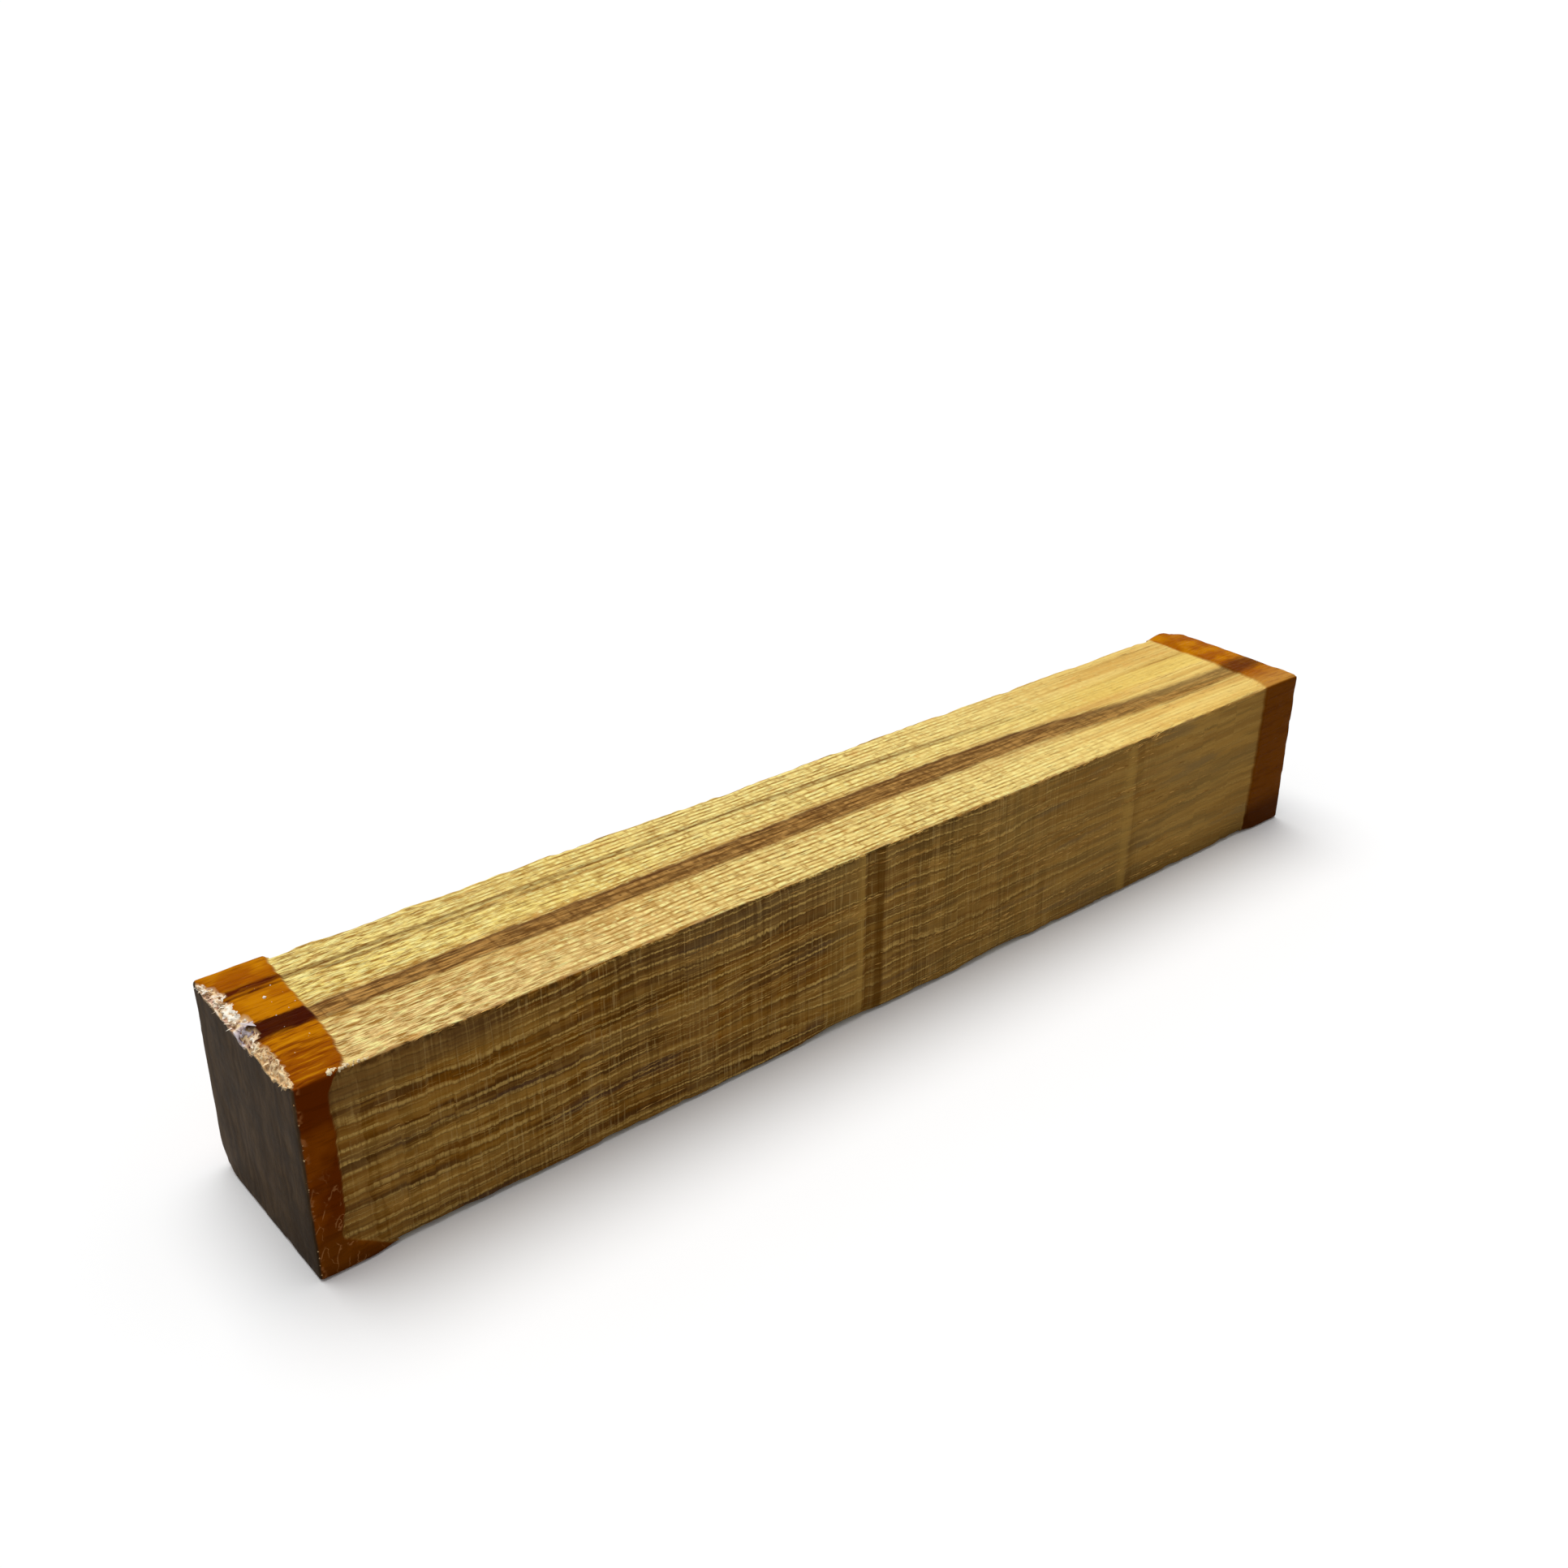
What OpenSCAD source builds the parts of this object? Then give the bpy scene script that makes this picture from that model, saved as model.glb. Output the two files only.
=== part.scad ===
// Pen turning blank: a square stick of figured hardwood, sawn on all four sides and cut square
// at both ends. Each end has been dipped in sealing wax, so that its end grain dries slowly.
// The stick lies along X on its two wax coats, with the near end at -X and its front face at -Y.
// The origin is on the floor under the middle of the stick.

/* [Stick] */
// Length of the wood between its two end cuts
stick_length = 129.5; // [60:0.5:310]
// Width of the wood, from its front face to its back face
stick_width = 19.05; // [15:0.05:52]
// Height of the wood, from its bottom face to its top face
stick_height = 19.05; // [15:0.05:52]
// Width of the small flat that wear has left on the four long arrises
arris_flat = 0.2; // [0.05:0.05:0.5]

/* [Wax coats] */
// Thickness of the wax that stands on the wood
wax_thickness = 0.25; // [0.15:0.05:0.6]
// Reach of the near wax along the top face, from the end cut
near_wax_reach = 5.4; // [4:0.1:20]
// Reach of the far wax along the top face, from the end cut
far_wax_reach = 5; // [4:0.1:20]

/* [Broken arris] */
// Longest chip broken out of the near top arris, measured along the stick
chip_length = 1.5; // [0.6:0.1:2]
// Deepest chip broken out of the near top arris, measured down the end
chip_depth = 1.7; // [0.6:0.1:3]
// Sound arris left at each side of the broken stretch
chip_margin = 0.7; // [0.5:0.1:3]
// How far each chip runs into the next one
chip_overlap = 0.1; // [0.05:0.05:0.3]

/* [Saw ledges] */
// Depth of the step that the saw left in the front face where its feed paused
ledge_depth = 0.15; // [0.05:0.05:0.5]
// Length of the ramp by which the face comes back after a step
ledge_ramp = 2.6; // [1:0.1:8]
// Distance of the first step from the near end cut
ledge_start = 59.5; // [20:0.5:60]
// Distance from one step to the next
ledge_pitch = 41; // [10:0.5:100]

/* [Hidden] */

// Wood and wax as the photograph shows them
wood_colour = [0.85, 0.69, 0.36];
wax_colour = [0.66, 0.36, 0.05];

// The wood's own faces: the stick is lifted off the floor by the wax under its ends
half_length = stick_length / 2;
half_width = stick_width / 2;
wood_bottom = wax_thickness;
wood_top = wood_bottom + stick_height;

// Wax rounds over each corner, and this radius still leaves cover on the sawn corner
wax_cover_share = 0.7;
wax_corner_r = wax_cover_share * wax_thickness / (1 - cos(45));

// How far a cutting or filling shape runs past the surface that it meets
overrun = 1;

// Straights across each face that follow the curve of a wax line, and round each wax corner
line_steps = 12;
corner_steps = 6;

// Wax lines: how much further than its reach a coat comes, round the stick from the front top
// arris. 0 to 1 is the top face, 1 to 2 the back, 2 to 3 the bottom and 3 to 4 the front.
near_line = [
    [0, -2], [0.1, -0.3], [0.5, 0], [1, 1], [1.5, 0.4], [2, 0],
    [2.5, 0.3], [3, 1], [3.14, -1.7], [3.5, -2.4], [3.9, -2.6], [4, -2]
];
far_line = [
    [0, 1], [0.15, 0], [0.5, -0.3], [1, -0.3], [1.5, 0], [2, 0.5],
    [2.5, 1.2], [3, 1.8], [3.5, 1.3], [4, 1]
];

// Chips along the broken stretch, from front to back: where each ends as a share of the
// stretch, then its length and its depth as shares of the largest
chips = [
    [0.08, 0.45, 0.60], [0.19, 0.80, 1.00], [0.30, 0.55, 0.75], [0.41, 0.70, 0.85],
    [0.49, 0.95, 0.60], [0.58, 1.00, 0.70], [0.66, 0.65, 0.50], [0.78, 0.85, 0.55],
    [0.90, 0.60, 0.40], [1.00, 0.40, 0.25]
];

// Hollow of a chip, from the top face down to the end: shares of its length and of its depth
chip_hollow = [[1, 0], [0.55, 0.3], [0.2, 0.55], [0, 1]];

// How fast a step drops away at first, as a share of its ramp
ledge_drop_share = 0.2;

// A share between 0 and 1 turned into one that starts and ends level
function eased(share) = (1 - cos(180 * share)) / 2;

// Value of a wax line at place t round the stick
function line_value(line, t, i = 0) =
    t <= line[i + 1][0] || i + 2 == len(line)
        ? line[i][1] + (line[i + 1][1] - line[i][1])
            * eased((t - line[i][0]) / (line[i + 1][0] - line[i][0]))
        : line_value(line, t, i + 1);

// Rectangle with round corners, centred on the origin. A corner is a run of short straights
// whose ends lie on its arc.
module round_rectangle(length, width, radius) {
    corner_sides = [[1, 1], [-1, 1], [-1, -1], [1, -1]];
    polygon([
        for (corner = [0 : 3], step = [0 : corner_steps])
            let (angle = 90 * (corner + step / corner_steps))
                [
                    corner_sides[corner][0] * (length / 2 - radius) + radius * cos(angle),
                    corner_sides[corner][1] * (width / 2 - radius) + radius * sin(angle)
                ]
    ]);
}

// The sawn stick before its arris broke, with its four long arrises lightly worn
module sawn_stick() {
    w = half_width;
    h = stick_height / 2;
    a = arris_flat;
    translate([-half_length, 0, wood_bottom + h])
        rotate([90, 0, 90])
            linear_extrude(stick_length)
                polygon([
                    [-w + a, -h], [w - a, -h], [w, -h + a], [w, h - a],
                    [w - a, h], [-w + a, h], [-w, h - a], [-w, -h + a]
                ]);
}

// Everything that broke away along the near top arris, in wood and wax alike
module broken_arris() {
    stretch = stick_width - 2 * chip_margin;
    for (i = [0 : len(chips) - 1]) {
        from = i == 0 ? 0 : chips[i - 1][0];
        to = chips[i][0];
        long = chip_length * chips[i][1];
        deep = chip_depth * chips[i][2];
        translate([-half_length, chip_margin + stretch * to - half_width, wood_top])
            rotate([90, 0, 0])
                linear_extrude(stretch * (to - from) + chip_overlap)
                    polygon(concat(
                        [[-overrun, overrun], [long, overrun]],
                        [for (point = chip_hollow) [point[0] * long, -point[1] * deep]],
                        [[-overrun, -deep]]
                    ));
    }
}

// Shallow steps across the front face, each steep at first and then ramping back out
module saw_ledges() {
    last_place = stick_length - far_wax_reach - 2 * ledge_ramp;
    for (place = [ledge_start : ledge_pitch : last_place])
        translate([-half_length + place, -half_width, wood_bottom - overrun])
            linear_extrude(stick_height + 2 * overrun)
                polygon([
                    [0, -overrun], [0, ledge_depth], [ledge_drop_share * ledge_ramp, ledge_depth],
                    [ledge_ramp, 0], [ledge_ramp, -overrun]
                ]);
}

// Outer skin of the wax if it ran the whole length of the stick, round at every edge
module wax_envelope() {
    length = stick_length + 2 * wax_thickness;
    width = stick_width + 2 * wax_thickness;
    height = stick_height + 2 * wax_thickness;
    translate([0, 0, height / 2])
        intersection() {
            linear_extrude(height, center = true)
                round_rectangle(length, width, wax_corner_r);
            rotate([90, 0, 0])
                linear_extrude(width, center = true)
                    round_rectangle(length, height, wax_corner_r);
            rotate([90, 0, 90])
                linear_extrude(length, center = true)
                    round_rectangle(width, height, wax_corner_r);
        }
}

// Wax over one long face of the near end. The face lies in the XY plane, from the first arris
// at y = 0 to the second at y = across, and its first arris is at place t round the stick.
module wax_face(reach, line, across, t) {
    edge = [
        for (i = [0 : line_steps])
            [reach + line_value(line, t + i / line_steps), across * i / line_steps]
    ];
    first = edge[0][0];
    last = edge[line_steps][0];
    translate([0, 0, -overrun])
        linear_extrude(wax_thickness + overrun)
            polygon(concat(
                [[-wax_thickness, -wax_thickness], [first, -wax_thickness]],
                edge,
                [[last, across + wax_thickness], [-wax_thickness, across + wax_thickness]]
            ));
}

// One wax coat at the near end of the stick: its four faces and its end, less the wood
module wax_coat(reach, line) {
    w = stick_width;
    h = stick_height;
    difference() {
        intersection() {
            wax_envelope();
            union() {
                translate([-half_length, -half_width, wood_top])
                    wax_face(reach, line, w, 0);
                translate([-half_length, half_width, wood_top])
                    rotate([-90, 0, 0]) wax_face(reach, line, h, 1);
                translate([-half_length, half_width, wood_bottom])
                    rotate([180, 0, 0]) wax_face(reach, line, w, 2);
                translate([-half_length, -half_width, wood_bottom])
                    rotate([90, 0, 0]) wax_face(reach, line, h, 3);
                translate([-half_length - wax_thickness, -w, 0])
                    cube([wax_thickness + overrun, 2 * w, 2 * h]);
            }
        }
        sawn_stick();
    }
}

module wood_blank() {
    color(wood_colour)
        difference() {
            sawn_stick();
            broken_arris();
            saw_ledges();
        }
}

module near_end_wax() {
    color(wax_colour)
        difference() {
            wax_coat(near_wax_reach, near_line);
            broken_arris();
        }
}

// The far coat is made as a near one and mirrored to the other end
module far_end_wax() {
    color(wax_colour)
        mirror([1, 0, 0])
            wax_coat(far_wax_reach, far_line);
}

wood_blank();
near_end_wax();
far_end_wax();
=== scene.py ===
import math

import bpy
import numpy as np
from mathutils import Euler, Matrix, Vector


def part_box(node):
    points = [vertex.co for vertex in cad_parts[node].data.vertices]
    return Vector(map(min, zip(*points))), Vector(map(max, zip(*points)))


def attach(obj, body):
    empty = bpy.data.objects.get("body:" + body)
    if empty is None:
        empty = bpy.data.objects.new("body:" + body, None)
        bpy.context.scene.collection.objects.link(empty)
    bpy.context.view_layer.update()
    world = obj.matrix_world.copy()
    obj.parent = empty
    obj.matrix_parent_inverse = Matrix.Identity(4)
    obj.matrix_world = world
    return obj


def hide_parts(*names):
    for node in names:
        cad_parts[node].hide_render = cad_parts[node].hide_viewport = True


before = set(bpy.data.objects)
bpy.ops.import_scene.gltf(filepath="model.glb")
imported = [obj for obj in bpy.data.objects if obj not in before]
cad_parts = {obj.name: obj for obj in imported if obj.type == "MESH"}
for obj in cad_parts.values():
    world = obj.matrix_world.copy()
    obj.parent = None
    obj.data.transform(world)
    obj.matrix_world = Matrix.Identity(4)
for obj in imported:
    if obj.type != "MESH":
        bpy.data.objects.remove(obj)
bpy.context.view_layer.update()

# The sawn stick is one piece of golden tropical hardwood with brown stripes. A band saw has cut
# its four sides and left them rough: its skin is ruled round the section and along the stick,
# then lifted by saw marks and cut back at the worn arrises and the broken near top arris.
MM = 0.001
stick_low, stick_high = (np.array(corner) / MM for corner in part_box("wood_blank"))
stick_length, stick_width, stick_height = stick_high - stick_low
stick_middle = (stick_low + stick_high) / 2
girth = 2 * (stick_width + stick_height)
arris_radius = 0.25

# Shapes are worked out in millimetres from the near end cut, the front face and the floor, and
# are moved from there into the frame
stick_start = np.array([stick_low[0], stick_low[1], 0])

# Skin stations along the stick are closest at the break
fine_run = 2.4
fine_pitch = 0.08
plain_pitch = 0.3
side_places = (72, 26, 26, 72)
arris_crowding = 0.62

# The break along the near top arris, from the front to the back: the share of the broken stretch
# at which each chip ends, then its length and its depth as shares of the largest
chips = np.array([
    [0.08, 0.45, 0.60], [0.19, 0.80, 1.00], [0.30, 0.55, 0.75], [0.41, 0.70, 0.85],
    [0.49, 0.95, 0.60], [0.58, 1.00, 0.70], [0.66, 0.65, 0.50], [0.78, 0.85, 0.55],
    [0.90, 0.60, 0.40], [1.00, 0.40, 0.25],
])
chip_length = 1.5
chip_depth = 1.7
break_front = 0.15
break_back = 18.6

# The saw's ledges on the front face: where each starts, its depth and how far it ramps back
ledges = [(59.5, 0.15, 2.6), (100.5, 0.1, 2.6), (8.9, 0.05, 1.5)]

# How far from each end cut the wax presses the saw's relief down
waxed_run = 7

# Corners of the stick that have worn away: how wide the wear is and how far it goes inwards
worn_away = [
    ([stick_high[0], stick_high[1], stick_high[2]], 1.2, [-0.3, -0.3, -0.3]),
    ([stick_low[0], stick_high[1], stick_low[2]], 1.5, [0.15, -0.55, 0.3]),
]


def ease(share):
    """Share held between 0 and 1 that leaves and arrives level: three squares less two cubes."""
    share = np.clip(share, 0, 1)
    return share * share * (3 - 2 * share)


def lumps(seed, x, y, pitch_x, pitch_y, wrap=None):
    """Smooth random relief from -1 to 1: random heights on a lattice, eased between its points.
    Where the surface closes on itself after the length wrap, so does the lattice."""
    columns, rows = 1021, 61
    if wrap is not None:
        rows = max(1, round(wrap / pitch_y))
        pitch_y = wrap / rows
    heights = np.random.default_rng(seed).uniform(-1, 1, (columns, rows))
    across, along = np.broadcast_arrays(np.asarray(x) / pitch_x, np.asarray(y) / pitch_y)
    column, row = np.floor(across).astype(int), np.floor(along).astype(int)
    share_x, share_y = ease(across - column), ease(along - row)

    def height(step_x, step_y):
        return heights[(column + step_x) % columns, (row + step_y) % rows]

    near = height(0, 0) * (1 - share_x) + height(1, 0) * share_x
    far = height(0, 1) * (1 - share_x) + height(1, 1) * share_x
    return near * (1 - share_y) + far * share_y


def places_round(counts, crowding):
    """Places round the stick: 0 to 1 over the top from its front arris, then the back, the
    bottom and the front up to 4. A sine crowds each side's places towards its two arrises."""
    sides = []
    for side, count in enumerate(counts):
        even = np.arange(count) / count
        sides.append(side + even - crowding * np.sin(2 * np.pi * even) / (2 * np.pi))
    return np.concatenate(sides)


def section(place, half_width, half_height, radius):
    """Points at these places round a rectangle with round corners, and their outward directions:
    the nearest point of a rectangle smaller by the radius, then the radius away from it."""
    y = half_width * np.interp(place, range(5), [-1, 1, 1, -1, -1])
    z = half_height * np.interp(place, range(5), [1, 1, -1, -1, 1])
    flat = np.stack([
        np.clip(y, radius - half_width, half_width - radius),
        np.clip(z, radius - half_height, half_height - radius),
    ], -1)
    away = np.stack([y, z], -1) - flat
    away /= np.linalg.norm(away, axis=-1, keepdims=True)
    return flat + radius * away, away


def how_upright(away):
    """Share from 0 on the top and bottom to 1 on the front and back, eased round the arrises."""
    return ease((away[..., 0] ** 2 - 0.25) / 0.5)


def chip_size(y):
    """Length along the stick and depth down the end of the chip broken out at y from the front
    face: the nearest chips' own, roughened at random, and nothing at either end of the break.
    Chips are smaller in the front half, and get shallower towards the back."""
    share = (y - break_front) / (break_back - break_front)
    fade = ease(share * 16) * ease((1 - share) * 12) * (1 - 0.3 * ease((0.5 - share) / 0.12))
    ends = np.append(0, chips[:, 0])
    long = chip_length * fade * np.interp(share, ends, np.append(0.3, chips[:, 1]))
    long = long * (0.7 + 0.36 * lumps(31, y, 0, 0.5, 1) + 0.16 * lumps(32, y, 0, 0.17, 1))
    deep = chip_depth * fade * np.interp(share, ends, np.append(0.4, chips[:, 2]))
    deep = deep * (0.72 + 0.25 * lumps(33, y, 0, 0.7, 1)) * (1 - 0.5 * ease((share - 0.5) / 0.3))
    return long, deep


def broken_height(x, y):
    """Height above the floor of the break at x from the end cut and y from the front face: under
    the top face by the chip's depth at the cut, and by an eighth of it where the chip ends."""
    long, deep = chip_size(y)
    hollow = np.interp(x / np.maximum(long, 0.01), [0, 0.2, 0.55, 1], [1, 0.6, 0.34, 0.13])
    return np.where(x < long, stick_high[2] - deep * hollow, np.inf)


def saw_relief(x, place, away):
    """How far the skin stands out, in millimetres: long waves, the saw's ridges across the front
    and back, small lumps and the ledges. It is pressed down where the wax lies on it."""
    around = place * girth / 4
    upright = away[..., 0] ** 2
    relief = 0.05 * lumps(11, x, around, 17, 9.5, girth) + 0.035 * lumps(12, x, around, 4, 3, girth)
    relief = relief + 0.018 * lumps(13, x, around, 0.8, 0.9, girth)
    relief = relief + 0.022 * upright * lumps(14, x + 0.012 * around, 0, 0.55, 1)
    for start, depth, ramp in ledges:
        share = (x - start) / ramp
        step = ease(share * 8) * (1 - ease((share - 0.3) / 0.7))
        relief = relief - depth * step * (place > 3) * upright
    waxed = ease((waxed_run - x) / 1.5) + ease((x - stick_length + waxed_run) / 1.5)
    return relief * (1 - 0.8 * waxed) - 0.03 * waxed


def arris_wear(x, place):
    """How far the arrises are worn back, in millimetres: fine random bites that fade within a
    third of a millimetre of each arris, and long shallow dents that fade within one."""
    nearest = np.round(place)
    beside = np.abs(place - nearest) * girth / 4
    bites = lumps(15, x, nearest % 4, 2.6, 1, 4) + 0.5 * lumps(16, x, nearest % 4, 0.9, 1, 4)
    dents = np.clip(lumps(17, x, nearest % 4, 8, 1, 4) - 0.15, 0, 1)
    dents = dents * np.where(nearest == 1, 0.4, 1)
    fine = 0.16 * np.clip(bites + 0.2, 0, 1.5) * np.exp(-(beside / 0.35) ** 2)
    return fine + 0.4 * dents * np.exp(-(beside / 0.9) ** 2)


def skin_place(x, place, sunk=0.0):
    """Points of the worn skin at x along the stick and these places round it, sunk into the wood
    by a depth in millimetres: the section's own points, moved by the relief less the wear."""
    points, away = section(place, stick_width / 2, stick_height / 2, arris_radius)
    out = saw_relief(x, place, away) - arris_wear(x, place) - sunk
    return points + out[..., None] * away + [stick_width / 2, stick_middle[2]], away


def worn_corners(points):
    """Points moved inwards at the worn corners, by less with the square of their distance."""
    for corner, radius, inward in worn_away:
        near = np.exp(-np.sum((points - corner) ** 2, -1, keepdims=True) / radius ** 2)
        points = points + np.array(inward) * near
    return points


def sawn_skin():
    """Rings of the stick's skin and the marks that its finish reads: how upright the side is, and
    how torn the wood. Each end cut is closed by the same rings drawn in to its middle."""
    place = places_round(side_places, arris_crowding)
    x = np.concatenate([
        np.arange(0, fine_run, fine_pitch),
        np.linspace(fine_run, stick_length, round((stick_length - fine_run) / plain_pitch)),
    ])[:, None]
    points, away = skin_place(x, place)
    sides = np.concatenate([np.broadcast_to(x, points.shape[:2])[..., None], points], -1)
    draw_in = np.array([0.985, 0.95, 0.88, 0.75, 0.5, 0.2])[:, None, None]
    middle = np.array([0, stick_width / 2, stick_middle[2]])
    near_cap = middle + (sides[0] - middle) * draw_in
    far_cap = middle + (sides[-1] - middle) * draw_in + [stick_length, 0, 0] * (1 - draw_in)
    rings = np.concatenate([near_cap[::-1], sides, far_cap])
    broken = broken_height(rings[..., 0], rings[..., 1])
    torn = ease((rings[..., 2] - broken + 0.08) / 0.1)
    rings[..., 2] = np.minimum(rings[..., 2], broken)
    upright = np.broadcast_to(how_upright(away), torn.shape)
    return worn_corners(rings + stick_start), {"upright": upright, "torn": torn}


def build_piece(name, points, faces, marks, smooth):
    """Piece made of these points, in millimetres, and these faces. A mark is a value at each
    point, which the finish reads."""
    mesh = bpy.data.meshes.new(name)
    mesh.from_pydata(points * MM, [], faces)
    if smooth:
        mesh.shade_smooth()
    for mark, values in marks.items():
        mesh.attributes.new(mark, "FLOAT", "POINT").data.foreach_set("value", values)
    piece = bpy.data.objects.new(name, mesh)
    bpy.context.collection.objects.link(piece)
    return piece


def skin(name, rings, poles, marks):
    """Closed piece over a stack of rings of points, with a fan to a pole at each end. It is
    turned outwards by the sign of its volume: the sum of its faces' pyramids to the origin."""
    count, around = rings.shape[:2]
    points = np.concatenate([rings.reshape(-1, 3), poles])
    here = np.arange(count)[:, None] * around + np.arange(around)
    beside = np.roll(here, -1, 1)
    quads = np.stack([here[:-1], beside[:-1], beside[1:], here[1:]], -1).reshape(-1, 4)
    first = np.stack([beside[0], here[0], np.full(around, count * around)], -1)
    last = np.stack([here[-1], beside[-1], np.full(around, count * around + 1)], -1)
    a, b, c, d = (points[quads[:, corner]] for corner in range(4))
    if np.sum(a * np.cross(b, c)) + np.sum(a * np.cross(c, d)) < 0:
        quads, first, last = quads[:, ::-1], first[:, ::-1], last[:, ::-1]
    faces = quads.tolist() + first.tolist() + last.tolist()
    marks = {
        mark: np.concatenate([values.ravel(), [values[0].mean(), values[-1].mean()]])
        for mark, values in marks.items()
    }
    return build_piece(name, points, faces, marks, smooth=True)


def linear(colour):
    """Screen colour, with parts from 0 to 255, as the linear one that a finish takes."""
    parts = np.array(colour) / 255
    light = np.where(parts > 0.04045, ((parts + 0.055) / 1.055) ** 2.4, parts / 12.92)
    return (*light.tolist(), 1.0)


class Field:
    """A value that a finish works out at each point of a piece. Arithmetic on it gives another
    field, and adds the step to the finish."""

    def __init__(self, finish, socket):
        self.finish = finish
        self.socket = socket

    def __add__(self, other):
        return self.finish.maths("ADD", self, other)

    def __sub__(self, other):
        return self.finish.maths("SUBTRACT", self, other)

    def __rsub__(self, other):
        return self.finish.maths("SUBTRACT", other, self)

    def __mul__(self, other):
        return self.finish.maths("MULTIPLY", self, other)

    def __truediv__(self, other):
        return self.finish.maths("DIVIDE", self, other)

    def __abs__(self):
        return self.finish.maths("ABSOLUTE", self)

    __radd__ = __add__
    __rmul__ = __mul__

    def floor(self):
        return self.finish.maths("FLOOR", self)

    def fraction(self):
        return self.finish.maths("FRACT", self)

    def sine(self):
        return self.finish.maths("SINE", self)

    def between(self, low, high):
        """Share from 0 where the field is low to 1 where it is high, eased at both ends."""
        values = {0: self, 1: low, 2: high}
        return self.finish.step("MapRange", values, interpolation_type="SMOOTHSTEP")


class Finish:
    """A procedural finish, built up in steps from the place of each point in millimetres."""

    def __init__(self, name):
        self.material = bpy.data.materials.new(name)
        self.material.use_nodes = True
        self.tree = self.material.node_tree
        place = self.step("TexCoord", {}, "Object")
        place = self.step("VectorMath", {0: place, 3: 1 / MM}, operation="SCALE")
        split = self.step("SeparateXYZ", {0: place}).socket.node
        self.x, self.y, self.z = (Field(self, socket) for socket in split.outputs)

    def feed(self, socket, value):
        """Give a socket a field, a screen colour or a plain number."""
        if isinstance(value, Field):
            self.tree.links.new(value.socket, socket)
        elif isinstance(value, tuple):
            socket.default_value = linear(value)
        else:
            socket.default_value = value

    def step(self, kind, values, output=0, **settings):
        """A node with these values at its inputs, as the field that it puts out."""
        node = self.tree.nodes.new("ShaderNode" + kind)
        for setting, value in settings.items():
            setattr(node, setting, value)
        for socket, value in values.items():
            self.feed(node.inputs[socket], value)
        return Field(self, node.outputs[output])

    def maths(self, operation, *values):
        """One step of arithmetic on fields or plain numbers, as a field."""
        return self.step("Math", dict(enumerate(values)), operation=operation)

    def larger(self, a, b):
        """The larger of two fields at each point."""
        return self.maths("MAXIMUM", a, b)

    def at(self, x, y, z):
        """A place, whose three parts may be stretched or moved beforehand."""
        return self.step("CombineXYZ", {0: x, 1: y, 2: z})

    def clouds(self, x, y, z, detail=2, roughness=0.5):
        """Soft random field about a half, with a lump or so to each unit of x, y and z."""
        values = {"Vector": self.at(x, y, z), "Scale": 1, "Detail": detail, "Roughness": roughness}
        return self.step("TexNoise", values, "Fac")

    def chance(self, value):
        """Random share that stays the same from one whole number to the next."""
        return self.step("TexWhiteNoise", {"W": value.floor()}, noise_dimensions="1D")

    def mark(self, name):
        """The value that the piece's own mesh carries under this name."""
        return self.step("Attribute", {}, "Fac", attribute_name=name)

    def path(self, share, points, size):
        """A value that follows a smooth curve through given points as share goes 0 to 1. The
        curve itself runs from 0 to 1, so its values are divided by their size, then multiplied."""
        node = self.tree.nodes.new("ShaderNodeFloatCurve")
        curve = node.mapping.curves[0]
        while len(curve.points) < len(points):
            curve.points.new(0.5, 0.5)
        for point, (where, value) in zip(curve.points, points):
            point.location = (where, value / size)
        node.mapping.update()
        self.feed(node.inputs["Value"], share)
        return Field(self, node.outputs[0]) * size

    def laid(self, colour, *layers):
        """Colour with layers laid over it in turn. Each is the share of the colour under it that
        it covers, from 0 to 1, and its own colour."""
        for share, layer in layers:
            colour = self.step("Mix", {0: share, 6: colour, 7: layer}, 2, data_type="RGBA")
        return colour

    def either(self, share, a, b):
        """The value a where the share is 0, and b where it is 1."""
        return self.step("Mix", {0: share, 2: a, 3: b})

    def done(self, colour, roughness, shine, height=None):
        """The material with its colour, roughness, shine and bumps, whose height is in mm."""
        surface = self.tree.nodes["Principled BSDF"].inputs
        self.feed(surface["Base Color"], colour)
        surface["Roughness"].default_value = roughness
        surface["Specular IOR Level"].default_value = shine
        if height is not None:
            bumps = self.step("Bump", {"Strength": 1, "Distance": MM, "Height": height})
            self.feed(surface["Normal"], bumps)
        return self.material


# Path of the brown stripe over the top face: share of the length, then distance from the front
stripe_path = [(0, 8.6), (0.32, 8.6), (0.5, 8.75), (0.67, 8.7), (0.84, 6.6), (1, 6.2)]
stripe_half_width = [(0, 1.2), (0.32, 1.45), (0.58, 1.75), (0.72, 1.7), (0.85, 1.5), (1, 1.4)]
thin_line_path = [(0, 15.2), (0.3, 15.2), (0.5, 14.8), (0.67, 13.7), (0.8, 12.0), (1, 11.6)]

# Tone of the front along the stick, where the saw's pace changed: 0.5 is the usual tone
saw_tones = [
    (0, 0.5), (0.41, 0.5), (0.425, 0.62), (0.45, 0.64), (0.4565, 0.78), (0.46, 0.22),
    (0.469, 0.3), (0.473, 0.04), (0.478, 0.08), (0.482, 0.58), (0.488, 0.5), (0.65, 0.54),
    (0.756, 0.58), (0.772, 0.76), (0.777, 0.34), (0.786, 0.42), (0.8, 0.56), (1, 0.56),
]

# Distance from one row to the next on the top, and from thread to thread on the front
row_pitch = 0.66
thread_pitch = 1.2
fine_thread_pitch = 0.66


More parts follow.
